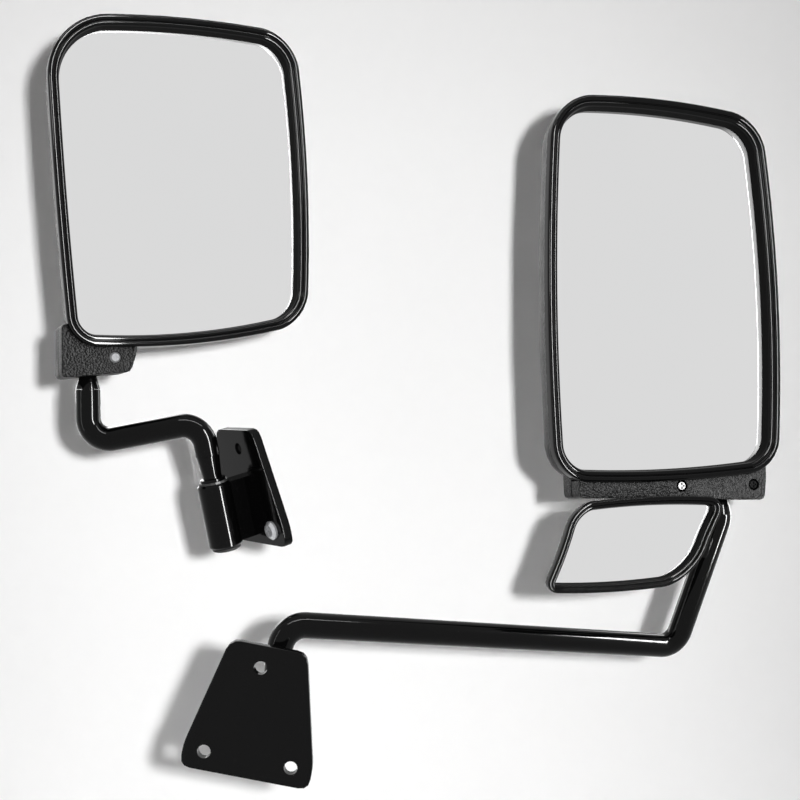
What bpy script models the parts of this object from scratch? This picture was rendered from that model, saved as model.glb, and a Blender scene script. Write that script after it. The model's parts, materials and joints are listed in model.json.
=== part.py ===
"""A pair of towing mirrors: a short-arm one for the driver and a long-arm one for the passenger."""

import math

import bmesh
import bpy
from mathutils import Euler, Matrix, Vector

# All sizes below are millimetres and are turned into metres where a mesh is made.
MM = 0.001
SEAT_GAP = 0.3
RUN_GAP = 0.3

# Arm tube, the same stock on both mirrors.
TUBE_R = 10.0
TUBE_BEND_R = 18.0
TUBE_SEGMENTS = 5

# Ball joint between an arm and its head.
BALL_R = 9.0
LINER_T = 1.5
LINER_TOP = 7.0
LINER_BOTTOM = -5.0
NECK_TOP_R = 5.5
NECK_FOOT_R = 6.8
STUD_SHOULDER = -22.7
SPIGOT_R = 5.0
SPIGOT_L = 14.0
SOCKET_MOUTH_R = 12.2
SOCKET_THROAT_R = 7.2

# Fold pivot, measured along the boss axis from the top of the boss.
BOSS_R = 14.0
BOSS_L = 55.0
PIN_R = 7.0
PIN_THREAD_R = 6.0
PIN_SEAT = 23.7
NUT_ROOM = 12.0
PIN_TAIL = 3.5
PIN_THREAD_TOP = NUT_ROOM - BOSS_L
PIN_END = PIN_TAIL - BOSS_L
THRUST_T = 1.8
POCKET_L = 28.0
POCKET_R = 11.5
POCKET_TOP = POCKET_L - BOSS_L
BUSH_R = 10.0
BUSH_END = POCKET_TOP + SEAT_GAP
WIRE_R = 1.0
SPRING_R = 8.9
SPRING_TURNS = 4
SPRING_SEAT = 3.1
SPRING_TOP = POCKET_TOP - WIRE_R - 0.1
SPRING_END = PIN_THREAD_TOP + SPRING_SEAT
WASHER_T = 1.6
NUT_FLAT = 9.0
NUT_H = 6.8
CAP_T = 2.4

# Cast bracket.
PLATE_T = 8.0
PLATE_FACE = 24.0
PLATE_TOP = 40.0
PLATE_BELOW = 3.6
PLATE_SIDE = 17.5
PLATE_BOTTOM = -BOSS_L - PLATE_BELOW
PLATE_KNEE = PLATE_BOTTOM + PLATE_SIDE
PLATE_TOP_HALF = 29.0
PLATE_FOOT_HALF = 48.5
PLATE_SHIFT = 6.5
PLATE_CORNER = 8.0
KNEE_CORNER = 6.0
WEB_T = 18.0
HOLE_R = 5.0
HOLE_IN = 16.0
HOLE_UP = 14.0
HOLE_DOWN = 16.4
TOP_HOLE_ASIDE = 3.0
TOP_HOLE = (PLATE_SHIFT + TOP_HOLE_ASIDE, PLATE_TOP - HOLE_DOWN)
FOOT_HOLE = (PLATE_SHIFT + PLATE_FOOT_HALF - HOLE_IN, PLATE_BOTTOM + HOLE_UP)
FAR_HOLE = (PLATE_SHIFT - PLATE_FOOT_HALF + HOLE_IN, PLATE_BOTTOM + HOLE_UP)
FACE_POINT = (PLATE_SHIFT, -15.0)

# Mirror head, from the front face of the rim backwards.
RIM_W = 10.5
RIM_D = 13.0
RIM_SKIRT = 10.0
SHELL_T = 2.5
GLASS_T = 3.0
BACKING_T = 3.0
HEAD_FRONT = 24.0
FOOT_HALF_D = 18.0
FOOT_CORNER = 4.0
# Shell walls: insets from the rim's outer line, and depths behind the rim's front face.
SHELL_INSETS = (0.4, 0.8, 2.8, 7.0)
SHELL_DEPTHS = (20.0, 30.0, 38.0, 43.5, 47.0, 48.5)
HOLLOW_INSETS = (7.5, 8.0, 11.0)
HOLLOW_DEPTHS = (30.0, 36.5, 41.0, 44.0, 45.5)
SPOT_SHELL_INSETS = (0.4, 0.8, 3.0)
SPOT_SHELL_DEPTHS = (10.5, 15.0, 18.5, 20.6, 21.2)
SPOT_HOLLOW_INSETS = (5.5, 6.0)
SPOT_HOLLOW_DEPTHS = (14.5, 16.8, 18.4)
PANE_INSET = 4.2
SPOT_PANE_INSET = 3.6
SCREW_R = 2.0
SCREW_HEAD_R = 4.6
SCREW_HEAD_H = 2.6
SCREW_SUNK = 0.2
SCREW_SEAT_ROOM = 0.4

# Where the driver's mirror stands.
DRIVER_BALL = (-260.0, 0.0, 31.7)
DRIVER_BOSS = (-155.4, 0.0, -69.2)
DRIVER_KNEE = (-259.4, 0.0, -36.2)
DRIVER_PLATE_TURN = (math.radians(13.0), 0.0, math.radians(-52.0))
DRIVER_YAW = math.radians(24.0)
DRIVER_PITCH = math.radians(-2.0)
ARM_RISE = 52.3

# Where the passenger's mirror stands.
PASSENGER_BALL = (275.1, 35.0, -75.1)
PASSENGER_BOSS = (-97.7, -85.0, -222.2)
PASSENGER_ELBOW = (236.8, 35.0, -212.2)
PASSENGER_CRANK = (275.1, 35.0, -103.0)
PASSENGER_PLATE_TURN = (0.0, math.radians(-10.8), math.radians(180.0))
PASSENGER_YAW = math.radians(14.0)
PASSENGER_PITCH = math.radians(-5.0)

# Head outlines seen from the front: corner points, corner reaches and side bulges.
# The order is top left, bottom left, bottom right, top right; bulges start with the left side.
DRIVER_CORNERS = ((-36.8, 280.3), (-18.2, 12.3), (185.8, 35.5), (177.3, 291.0))
DRIVER_REACH = (51.0, 22.5, 27.5, 31.5)
DRIVER_BULGE = (1.9, 8.7, 6.3, 7.2)
DRIVER_FOOT = ((-24.0, -14.5), (32.0, -9.0), (37.5, 8.0), (37.5, 26.0), (-24.0, 30.0))
DRIVER_FOOT_SCREWS = ((19.5, 3.0),)
PASSENGER_CORNERS = ((-149.5, 330.0), (-157.9, 7.6), (44.4, 14.1), (43.7, 320.7))
PASSENGER_REACH = (35.5, 29.0, 26.0, 29.5)
PASSENGER_BULGE = (5.9, 5.3, 8.4, 7.1)
PASSENGER_FOOT = ((-136.0, -7.0), (33.0, -11.5), (35.5, 8.0), (35.5, 22.0), (-136.0, 22.0))
PASSENGER_FOOT_SCREWS = ((-44.0, 1.5), (23.0, 1.5))

# Spot mirror under the passenger's head.
SPOT_ALONG = 0.775
SPOT_YAW = math.radians(12.0)
SPOT_REACH_X = 39.5
SPOT_BALL_Y = 28.0
SPOT_BALL_R = 7.0
SPOT_NECK_R = 4.0
SPOT_FRONT = 24.0
SPOT_CUP_R = 12.0
SPOT_CUP_BACK = 6.0
SPOT_CUP_FRONT = 11.4
SPOT_RIM_W = 7.5
SPOT_RIM_D = 8.0
SPOT_SKIRT = 6.0
SPOT_GLASS_T = 2.0
SPOT_BACKING_T = 1.3
SPOT_CORNERS = ((-104.0, 33.5), (-130.2, -36.1), (0.9, -31.5), (30.8, 36.5))
SPOT_REACH = (18.0, 13.0, 30.0, 18.5)
SPOT_BULGE = (-2.4, 3.4, -3.0, 3.6)
LUG_HALF_H = 9.0
LUG_FACE = 14.0
LUG_BACK = 14.0
LUG_END = 7.0
LUG_T = 8.0
STUD_R = 3.0
STUD_FLANGE_R = 7.0

for old in list(bpy.data.objects):
    bpy.data.objects.remove(old, do_unlink=True)
PARTS = bpy.data.collections.new("towing_mirror_pair")
CUTTERS = bpy.data.collections.new("cutters")
bpy.context.scene.collection.children.link(PARTS)
bpy.context.scene.collection.children.link(CUTTERS)


def material(name, colour, roughness, metallic):
    made = bpy.data.materials.new(name)
    made.use_nodes = True
    shader = made.node_tree.nodes["Principled BSDF"]
    shader.inputs["Base Color"].default_value = (*colour, 1.0)
    shader.inputs["Roughness"].default_value = roughness
    shader.inputs["Metallic"].default_value = metallic
    return made


PAINT = material("gloss_black_paint", (0.006, 0.006, 0.006), 0.15, 0.0)
GLOSS = material("gloss_black_plastic", (0.008, 0.008, 0.008), 0.2, 0.0)
GRAIN = material("grained_black_plastic", (0.015, 0.015, 0.015), 0.55, 0.0)
MIRROR = material("mirror_glass", (0.72, 0.72, 0.72), 0.05, 1.0)
NYLON = material("black_nylon", (0.02, 0.02, 0.02), 0.5, 0.0)
STEEL = material("plain_steel", (0.45, 0.45, 0.46), 0.35, 1.0)
ZINC = material("zinc_plate", (0.62, 0.63, 0.65), 0.3, 1.0)
RUBBER = material("black_rubber", (0.02, 0.02, 0.02), 0.8, 0.0)
BOARD = material("black_backing_board", (0.03, 0.03, 0.03), 0.7, 0.0)


def placed(at):
    """A layout point in metres, counted from the middle of the passenger plate's mating face."""
    x, z = FACE_POINT
    spin = Euler(PASSENGER_PLATE_TURN).to_matrix()
    origin = Vector(PASSENGER_BOSS) + spin @ Vector((x, PLATE_FACE + PLATE_T, z))
    return (Vector(at) - origin) * MM


def frame(name, at, turn):
    """An empty that carries the pieces of one moving group; its origin is on the joint."""
    empty = bpy.data.objects.new(name, None)
    PARTS.objects.link(empty)
    empty.location = placed(at)
    empty.rotation_euler = turn
    return empty


def thing(name, mesh, look, parent, smooth=False):
    """One piece made from a mesh whose points are in its frame."""
    piece = bpy.data.objects.new(name, mesh)
    PARTS.objects.link(piece)
    mesh.materials.clear()
    mesh.materials.append(look)
    piece.parent = parent
    if smooth:
        mesh.shade_smooth()
    return piece


def hidden(piece):
    """Moves a shape used only as a cutter, or only to be joined, out of sight."""
    PARTS.objects.unlink(piece)
    CUTTERS.objects.link(piece)
    piece.hide_render = True
    piece.display_type = "WIRE"
    return piece


def combine(piece, other, operation):
    hidden(other)
    step = piece.modifiers.new(operation.lower(), "BOOLEAN")
    step.operation = operation
    step.solver = "EXACT"
    step.object = other


def cut(piece, other):
    combine(piece, other, "DIFFERENCE")


def join(piece, other):
    combine(piece, other, "UNION")


def turned(name, profile, look, parent, steps=20, axis="Z", at=(0, 0, 0), ring=False):
    """A turned shape from (radius, height) points that run down the outer side."""
    mesh = bpy.data.meshes.new(name)
    points = [(radius * MM, 0.0, height * MM) for radius, height in profile]
    edges = [(i, i + 1) for i in range(len(points) - 1)]
    if ring:
        edges.append((len(points) - 1, 0))
    mesh.from_pydata(points, edges, [])
    piece = thing(name, mesh, look, parent)
    screw = piece.modifiers.new("turn", "SCREW")
    screw.steps = steps
    screw.render_steps = steps
    screw.use_merge_vertices = True
    screw.merge_threshold = 0.00001
    piece.location = Vector(at) * MM
    if axis == "-Y":
        piece.rotation_euler = (math.radians(90.0), 0.0, 0.0)
    return piece


def cylinder(name, radius, top, bottom, parent, axis="Z", at=(0, 0, 0), steps=20, look=None):
    profile = [(0.0, top), (radius, top), (radius, bottom), (0.0, bottom)]
    return turned(name, profile, look or STEEL, parent, steps, axis, at)


def ring(name, inner, outer, top, bottom, look, parent, steps=20):
    profile = [(outer, top), (outer, bottom), (inner, bottom), (inner, top)]
    return turned(name, profile, look, parent, steps, ring=True)


def box(name, low, high, look, parent, rounding=0.0):
    mesh = bpy.data.meshes.new(name)
    shape = bmesh.new()
    bmesh.ops.create_cube(shape, size=1.0)
    for vert in shape.verts:
        for i in range(3):
            vert.co[i] = (low[i] + (vert.co[i] + 0.5) * (high[i] - low[i])) * MM
    shape.to_mesh(mesh)
    shape.free()
    piece = thing(name, mesh, look, parent)
    if rounding:
        bevel = piece.modifiers.new("round", "BEVEL")
        bevel.width = rounding * MM
        bevel.segments = 2
    return piece


def from_curve(name, curve, look, parent, smooth=False):
    """Turns a curve into a welded mesh piece and removes the curve."""
    carrier = bpy.data.objects.new(name + "_curve", curve)
    PARTS.objects.link(carrier)
    bpy.context.view_layer.update()
    seen = carrier.evaluated_get(bpy.context.evaluated_depsgraph_get())
    mesh = bpy.data.meshes.new_from_object(seen)
    bpy.data.objects.remove(carrier, do_unlink=True)
    shape = bmesh.new()
    shape.from_mesh(mesh)
    bmesh.ops.remove_doubles(shape, verts=shape.verts, dist=0.00001)
    bmesh.ops.recalc_face_normals(shape, faces=shape.faces)
    shape.to_mesh(mesh)
    shape.free()
    mesh.name = name
    return thing(name, mesh, look, parent, smooth)


def slab(name, outline, low, high, look, parent, rounding=0.0):
    """A flat shape: an outline in the X-Z plane, filled and given a depth along Y."""
    curve = bpy.data.curves.new(name, "CURVE")
    curve.dimensions = "2D"
    curve.fill_mode = "BOTH"
    curve.extrude = (high - low) / 2 * MM
    spline = curve.splines.new("POLY")
    spline.points.add(len(outline) - 1)
    for point, (x, z) in zip(spline.points, outline):
        point.co = (x * MM, z * MM, 0.0, 1.0)
    spline.use_cyclic_u = True
    piece = from_curve(name, curve, look, parent)
    middle = Matrix.Translation((0.0, (low + high) / 2 * MM, 0.0))
    upright = middle @ Matrix.Rotation(math.radians(90.0), 4, "X")
    piece.data.transform(upright)
    if rounding:
        bevel = piece.modifiers.new("round", "BEVEL")
        bevel.width = rounding * MM
        bevel.segments = 2
        bevel.limit_method = "ANGLE"
        bevel.angle_limit = math.radians(50.0)
    return piece


def tube(name, path, radius, look, parent, resolution):
    curve = bpy.data.curves.new(name, "CURVE")
    curve.dimensions = "3D"
    curve.bevel_depth = radius * MM
    curve.bevel_resolution = resolution
    curve.use_fill_caps = True
    spline = curve.splines.new("POLY")
    spline.points.add(len(path) - 1)
    for point, place in zip(spline.points, path):
        point.co = (*(Vector(place) * MM), 1.0)
    return from_curve(name, curve, look, parent, True)


def bent(corners, radius, steps):
    """The centre line of a bent tube: straight runs with an arc at each inner corner."""
    line = [Vector(corners[0])]
    for before, corner, after in zip(corners, corners[1:], corners[2:]):
        corner = Vector(corner)
        inward = (Vector(before) - corner).normalized()
        outward = (Vector(after) - corner).normalized()
        half = inward.angle(outward) / 2
        reach = radius / math.tan(half)
        centre = corner + (inward + outward).normalized() * radius / math.sin(half)
        start = corner + inward * reach - centre
        end = corner + outward * reach - centre
        sweep = start.angle(end)
        normal = start.cross(end).normalized()
        for i in range(steps + 1):
            turn = Matrix.Rotation(sweep * i / steps, 3, normal)
            line.append(centre + turn @ start)
    line.append(Vector(corners[-1]))
    return line


def rounded(corners, reach, arc_steps=4):
    """A polygon with every corner replaced by an arc-like curve that starts its reach away."""
    points = []
    count = len(corners)
    for i in range(count):
        corner = Vector(corners[i])
        start = corner + (Vector(corners[i - 1]) - corner).normalized() * reach[i]
        end = corner + (Vector(corners[(i + 1) % count]) - corner).normalized() * reach[i]
        for j in range(arc_steps + 1):
            t = j / arc_steps
            points.append(start.lerp(corner, t).lerp(corner.lerp(end, t), t))
    return points


def head_outline(corners, reach, bulge, side_steps=3, arc_steps=5):
    """The rim's outer line: four bulged sides joined by rounded corners."""
    ends = [Vector(corner) for corner in corners]

    def on_side(i, t):
        a = ends[i]
        along = ends[(i + 1) % 4] - a
        out = Vector((along.y, -along.x)).normalized()
        return a + along * t - out * -bulge[i] * 4 * t * (1 - t)

    points = []
    for i in range(4):
        j = (i + 1) % 4
        length = (ends[j] - ends[i]).length
        next_length = (ends[(j + 1) % 4] - ends[j]).length
        first = reach[i] / length
        last = 1 - reach[j] / length
        for k in range(side_steps + 1):
            points.append(on_side(i, first + (last - first) * k / side_steps))
        start = on_side(i, last)
        end = on_side(j, reach[j] / next_length)
        leave = start - on_side(i, last - 0.001)
        arrive = on_side(j, reach[j] / next_length + 0.001) - end
        gap = end - start
        span = (gap.x * arrive.y - gap.y * arrive.x) / (leave.x * arrive.y - leave.y * arrive.x)
        peak = start + leave * span
        first_pull = start.lerp(peak, 0.5523)
        last_pull = end.lerp(peak, 0.5523)
        for k in range(1, arc_steps):
            t = k / arc_steps
            a = start.lerp(first_pull, t)
            b = first_pull.lerp(last_pull, t)
            c = last_pull.lerp(end, t)
            points.append(a.lerp(b, t).lerp(b.lerp(c, t), t))
    return points


def inset(outline, distance):
    """The outline moved inwards by a distance, point by point."""
    moved = []
    count = len(outline)
    for i, point in enumerate(outline):
        along = (outline[(i + 1) % count] - outline[i - 1]).normalized()
        moved.append(point + Vector((-along.y, along.x)) * distance)
    return moved


def shrunk(outline, share):
    centre = sum(outline, Vector((0.0, 0.0))) / len(outline)
    return [centre + (point - centre) * share for point in outline]


def loft(name, loops, look, parent, closed, smooth=True):
    """Skin over outlines at given depths; closed joins last to first, else both ends are capped."""
    shape = bmesh.new()
    rows = [[shape.verts.new((p.x * MM, y * MM, p.y * MM)) for p in line] for line, y in loops]
    pairs = list(zip(rows, rows[1:]))
    if closed:
        pairs.append((rows[-1], rows[0]))
    for one, two in pairs:
        for i in range(len(one)):
            j = (i + 1) % len(one)
            shape.faces.new((one[i], one[j], two[j], two[i]))
    if not closed:
        shape.faces.new(rows[0])
        shape.faces.new(rows[-1])
    bmesh.ops.recalc_face_normals(shape, faces=shape.faces)
    mesh = bpy.data.meshes.new(name)
    shape.to_mesh(mesh)
    shape.free()
    piece = thing(name, mesh, look, parent)
    if smooth:
        mesh.shade_smooth()
        mesh.set_sharp_from_angle(angle=math.radians(40.0))
    return piece


def sphere(name, radius, parent, at=(0, 0, 0)):
    mesh = bpy.data.meshes.new(name)
    shape = bmesh.new()
    bmesh.ops.create_uvsphere(shape, u_segments=20, v_segments=12, radius=radius * MM)
    shape.to_mesh(mesh)
    shape.free()
    piece = thing(name, mesh, STEEL, parent)
    piece.location = Vector(at) * MM
    return piece


def ball_arc(radius, high, low, steps):
    """Points down the side of a ball between two heights."""
    first = math.acos(high / radius)
    last = math.acos(low / radius)
    turns = [first + (last - first) * i / steps for i in range(steps + 1)]
    return [(radius * math.sin(a), radius * math.cos(a)) for a in turns]


def hexagon(flat):
    corner = flat / math.cos(math.radians(30.0))
    turns = [math.radians(60.0 * i) for i in range(6)]
    return [(corner * math.cos(a), corner * math.sin(a)) for a in turns]


def nut(name, flat, top, bottom, bore, look, parent, axis="Z", at=(0, 0, 0)):
    piece = slab(name, hexagon(flat), -top, -bottom, look, parent)
    if axis == "Z":
        piece.data.transform(Matrix.Rotation(math.radians(-90.0), 4, "X"))
    piece.location = Vector(at) * MM
    cut(piece, cylinder(name + "_bore", bore, top + 1, bottom - 1, parent, axis, at, 16))
    return piece


def cross_recess(piece, name, parent, face, depth, span, at):
    """The cross in a screw head, cut from its face backwards along Y."""
    x, z = at
    low = face - 1
    end = face + depth
    wide = box(name + "_cross_wide", (x - span, low, z - 0.6), (x + span, end, z + 0.6), STEEL, parent)
    tall = box(name + "_cross_tall", (x - 0.6, low, z - span), (x + 0.6, end, z + span), STEEL, parent)
    cut(piece, wide)
    cut(piece, tall)


def screw(name, at, head_back, end, shank, head, height, parent, finish):
    """A cross-head screw along Y; the head's underside is at head_back, the tip at end."""
    x, z = at
    face = -head_back
    tip = -end
    profile = [
        (0.0, face + height),
        (head * 0.7, face + height),
        (head, face + height * 0.45),
        (head, face),
        (shank, face),
        (shank, tip + 1.0),
        (shank * 0.6, tip),
        (0.0, tip),
    ]
    piece = turned(name, profile, finish, parent, 14, "-Y", (x, 0, z))
    cross_recess(piece, name, parent, head_back - height, height * 0.6, head * 0.55, at)
    return piece


def plate_outline():
    """The bracket's plate with the boss top as origin."""
    half = [
        (PLATE_TOP_HALF, PLATE_TOP),
        (PLATE_FOOT_HALF, PLATE_KNEE),
        (PLATE_FOOT_HALF, PLATE_BOTTOM),
    ]
    corners = half + [(-x, z) for x, z in reversed(half)]
    reach = [PLATE_CORNER, KNEE_CORNER, PLATE_CORNER]
    return rounded([(x + PLATE_SHIFT, z) for x, z in corners], reach + reach[::-1], 3)


def bracket(who, at, turn):
    """The cast bracket and the fold pivot inside its boss."""
    base = frame(who + "_bracket_frame", at, turn)
    plate_back = PLATE_FACE + PLATE_T
    body = slab(who + "_bracket", plate_outline(), PLATE_FACE, plate_back, PAINT, base, 1.2)
    boss = [
        (0.0, 0.0),
        (BOSS_R - 1.5, 0.0),
        (BOSS_R, -1.5),
        (BOSS_R, 2.0 - BOSS_L),
        (BOSS_R - 2.0, -BOSS_L),
        (0.0, -BOSS_L),
    ]
    web_low = (-WEB_T / 2, 6.0, 3.0 - BOSS_L)
    join(body, box(who + "_web", web_low, (WEB_T / 2, PLATE_FACE + 2, -1.0), PAINT, base))
    join(body, turned(who + "_boss", boss, PAINT, base, 24))
    cut(body, cylinder(who + "_bush_bore", BUSH_R + SEAT_GAP, 5.0, POCKET_TOP - 1, base, steps=18))
    cut(body, cylinder(who + "_pocket", POCKET_R, POCKET_TOP, -BOSS_L - 5, base, steps=18))
    for i, (x, z) in enumerate((TOP_HOLE, FOOT_HOLE, FAR_HOLE)):
        cut(body, cylinder(f"{who}_hole_{i}", HOLE_R, -20.0, -50.0, base, "-Y", (x, 0, z), 16))
    washer_top = SEAT_GAP + THRUST_T
    ring(who + "_thrust_washer", PIN_R + RUN_GAP, BOSS_R - 2, washer_top, SEAT_GAP, NYLON, base, 18)
    ring(who + "_pivot_bush", PIN_R + RUN_GAP, BUSH_R, -SEAT_GAP, BUSH_END, NYLON, base, 18)
    plug_top = PIN_END - 2 * SEAT_GAP
    cap = [
        (0.0, plug_top),
        (POCKET_R - SEAT_GAP, plug_top),
        (POCKET_R - SEAT_GAP, -BOSS_L - SEAT_GAP),
        (BOSS_R - 2, -BOSS_L - SEAT_GAP),
        (BOSS_R - 2, -BOSS_L - SEAT_GAP - CAP_T * 0.5),
        (BOSS_R - 4, -BOSS_L - SEAT_GAP - CAP_T),
        (0.0, -BOSS_L - SEAT_GAP - CAP_T),
    ]
    turned(who + "_boss_cap", cap, RUBBER, base, 18)
    return base


def pivot(who, at, turn):
    """The pin that the arm turns on, with the spring, washer and nut that hold it down."""
    base = frame(who + "_arm_frame", at, turn)
    collar = SEAT_GAP * 2 + THRUST_T
    pin = [
        (0.0, PIN_SEAT + SPIGOT_L),
        (SPIGOT_R, PIN_SEAT + SPIGOT_L),
        (SPIGOT_R, PIN_SEAT),
        (TUBE_R - 0.4, PIN_SEAT),
        (PIN_R + 1.0, collar + 5.0),
        (PIN_R + 1.0, collar + 2.5),
        (BOSS_R - 3.5, collar + 2.0),
        (BOSS_R - 3.5, collar),
        (PIN_R, collar),
        (PIN_R, PIN_THREAD_TOP),
        (PIN_THREAD_R, PIN_THREAD_TOP),
        (PIN_THREAD_R, PIN_END),
        (0.0, PIN_END),
    ]
    turned(who + "_pivot_pin", pin, PAINT, base, 18)
    points = SPRING_TURNS * 9
    curls = []
    for i in range(points + 1):
        turn_angle = 2 * math.pi * i / 9
        height = SPRING_TOP + (SPRING_END - SPRING_TOP) * i / points
        curls.append((SPRING_R * math.cos(turn_angle), SPRING_R * math.sin(turn_angle), height))
    tube(who + "_pivot_spring", curls, WIRE_R, STEEL, base, 1)
    washer_top = SPRING_END - WIRE_R - SEAT_GAP
    washer_end = washer_top - WASHER_T
    ring(who + "_pivot_washer", PIN_R + SEAT_GAP, POCKET_R - RUN_GAP, washer_top, washer_end, ZINC, base)
    nut_top = PIN_THREAD_TOP - SEAT_GAP
    nut(who + "_pivot_nut", NUT_FLAT, nut_top, nut_top - NUT_H, PIN_THREAD_R + SEAT_GAP, ZINC, base)
    return base


def up_axis(turn):
    """The direction of a frame's own Z axis."""
    return Euler(turn).to_matrix() @ Vector((0.0, 0.0, 1.0))


def arm(who, corners, base, boss):
    """The bent tube, drilled at both ends for the pivot pin and the ball stud."""
    local = Matrix.LocRotScale(Vector(boss) * MM, base.rotation_euler, None).inverted()
    path = [local @ (Vector(point) * MM) / MM for point in bent(corners, TUBE_BEND_R, TUBE_SEGMENTS)]
    piece = tube(who + "_arm_tube", path, TUBE_R, PAINT, base, 5)
    pin_bore = PIN_SEAT + SPIGOT_L + SEAT_GAP
    cut(piece, cylinder(who + "_pin_bore", SPIGOT_R + SEAT_GAP, pin_bore, PIN_SEAT - 5, base, steps=16))
    top = frame(who + "_tube_end_frame", corners[-1], (0, 0, 0))
    bore_end = -SPIGOT_L - SEAT_GAP
    stud_bore = cylinder(who + "_stud_bore", SPIGOT_R + SEAT_GAP, 5.0, bore_end, top, steps=16)
    cut(piece, stud_bore)
    return piece


def ball_joint(who, at, foot_r):
    """The ball stud on the arm and the nylon liner round its ball."""
    base = frame(who + "_ball_joint_frame", at, (0, 0, 0))
    stud = ball_arc(BALL_R, BALL_R, -7.1, 6)
    stud[0] = (0.0, BALL_R)
    stud += [
        (NECK_TOP_R, -7.6),
        (NECK_FOOT_R, -11.5),
        (foot_r, -15.5),
        (TUBE_R - 0.2, STUD_SHOULDER + 1.0),
        (TUBE_R - 0.2, STUD_SHOULDER),
        (SPIGOT_R, STUD_SHOULDER),
        (SPIGOT_R, STUD_SHOULDER - SPIGOT_L),
        (0.0, STUD_SHOULDER - SPIGOT_L),
    ]
    turned(who + "_ball_stud", stud, PAINT, base, 20)
    liner_in = BALL_R + RUN_GAP
    liner_out = liner_in + LINER_T
    profile = ball_arc(liner_out, LINER_TOP, LINER_BOTTOM, 5)
    profile += list(reversed(ball_arc(liner_in, LINER_TOP, LINER_BOTTOM, 5)))
    turned(who + "_ball_liner", profile, NYLON, base, 20, ring=True)
    return base


def rim(name, outline, front, width, depth, skirt, wall, parent):
    """The double-lipped rim: an outer bead, a groove and an inner wall down to the glass."""
    lip = width / 10.5
    section = (
        (0.0, skirt),
        (0.0, 2.6 * lip),
        (0.9 * lip, 0.7 * lip),
        (2.6 * lip, 0.0),
        (4.4 * lip, 0.6 * lip),
        (5.2 * lip, 2.2 * lip),
        (6.0 * lip, 2.0 * lip),
        (8.0 * lip, 2.4 * lip),
        (9.2 * lip, 4.2 * lip),
        (width, depth),
        (wall + 2 * SEAT_GAP, depth),
        (wall + 2 * SEAT_GAP, skirt),
    )
    loops = [(inset(outline, d), y - front) for d, y in section]
    return loft(name, loops, GLOSS, parent, True)


def pane(name, outline, low, high, look, parent):
    return loft(name, [(outline, low), (outline, high)], look, parent, False)


def head(who, at, yaw, pitch, shape, foot, screws):
    """Shell, rim, glass, backing and the split foot that holds the ball."""
    base = frame(who + "_head_frame", at, (pitch, 0.0, yaw))
    outline = head_outline(*shape)
    front = -HEAD_FRONT
    wall = SHELL_T + 0.4
    glass_at = front + RIM_D + SEAT_GAP
    back_at = glass_at + GLASS_T + SEAT_GAP
    ledge = back_at + BACKING_T + SEAT_GAP
    rim(who + "_rim", outline, HEAD_FRONT, RIM_W, RIM_D, RIM_SKIRT, wall, base)
    pane(who + "_glass", inset(outline, PANE_INSET), glass_at, glass_at + GLASS_T, MIRROR, base)
    pane(who + "_backing_plate", inset(outline, PANE_INSET), back_at, back_at + BACKING_T, BOARD, base)
    edge = front + RIM_SKIRT + SEAT_GAP
    skin = [inset(outline, distance) for distance in SHELL_INSETS]
    lining = [inset(outline, distance) for distance in HOLLOW_INSETS]
    deep = [front + depth for depth in SHELL_DEPTHS]
    inner = [front + depth for depth in HOLLOW_DEPTHS]
    outer = [
        (skin[0], edge),
        (skin[1], deep[0]),
        (skin[2], deep[1]),
        (skin[3], deep[2]),
        (shrunk(skin[3], 0.9), deep[3]),
        (shrunk(skin[3], 0.72), deep[4]),
        (shrunk(skin[3], 0.4), deep[5]),
    ]
    pocket = [(inset(outline, wall), edge - 1), (inset(outline, wall), ledge)]
    hollow = [
        (lining[0], ledge - 1),
        (lining[1], inner[0]),
        (lining[2], inner[1]),
        (shrunk(lining[2], 0.88), inner[2]),
        (shrunk(lining[2], 0.7), inner[3]),
        (shrunk(lining[2], 0.4), inner[4]),
    ]
    shell = loft(who + "_shell", outer, GRAIN, base, False)
    foot_line = rounded(foot, [FOOT_CORNER] * len(foot), 2)
    split = SEAT_GAP / 2
    join(shell, slab(who + "_foot_rear", foot_line, split, FOOT_HALF_D, GRAIN, base, 1.0))
    cut(shell, loft(who + "_pocket_space", pocket, GRAIN, base, False))
    cut(shell, loft(who + "_hollow_space", hollow, GRAIN, base, False))
    cover = slab(who + "_foot_cover", foot_line, -FOOT_HALF_D, -split, GRAIN, base, 1.0)
    clear = inset(outline, -SEAT_GAP)
    cut(cover, pane(who + "_cover_relief", clear, front - 5, 5.0, GRAIN, base))
    socket_r = BALL_R + 2 * RUN_GAP + LINER_T
    for piece, mark in ((shell, "rear"), (cover, "front")):
        cut(piece, sphere(f"{who}_socket_{mark}", socket_r, base))
        throat = [(0.0, -5.5), (SOCKET_THROAT_R, -5.5), (SOCKET_MOUTH_R, -13.5), (0.0, -13.5)]
        cut(piece, turned(f"{who}_throat_{mark}", throat, STEEL, base, 20))
    seat = SCREW_HEAD_H + SCREW_SUNK + SEAT_GAP
    seat_r = SCREW_HEAD_R + SCREW_SEAT_ROOM
    # A foot with two screws has black ones.
    finish = ZINC if len(screws) == 1 else PAINT
    for i, (x, z) in enumerate(screws):
        at_hole = (x, 0, z)
        floor = FOOT_HALF_D - seat
        cut(cover, cylinder(f"{who}_screw_seat_{i}", seat_r, 30.0, floor, base, "-Y", at_hole))
        way = SCREW_R + SEAT_GAP
        cut(cover, cylinder(f"{who}_screw_way_{i}", way, 30.0, -5.0, base, "-Y", at_hole, 12))
        cut(shell, cylinder(f"{who}_screw_hole_{i}", way, 5.0, -13.0, base, "-Y", at_hole, 12))
        name = who + "_foot_screw" if len(screws) == 1 else f"{who}_foot_screw_{i + 1}"
        under = seat - FOOT_HALF_D - SEAT_GAP
        screw(name, (x, z), under, 12.0, SCREW_R, SCREW_HEAD_R, SCREW_HEAD_H, base, finish)
    return base


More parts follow.
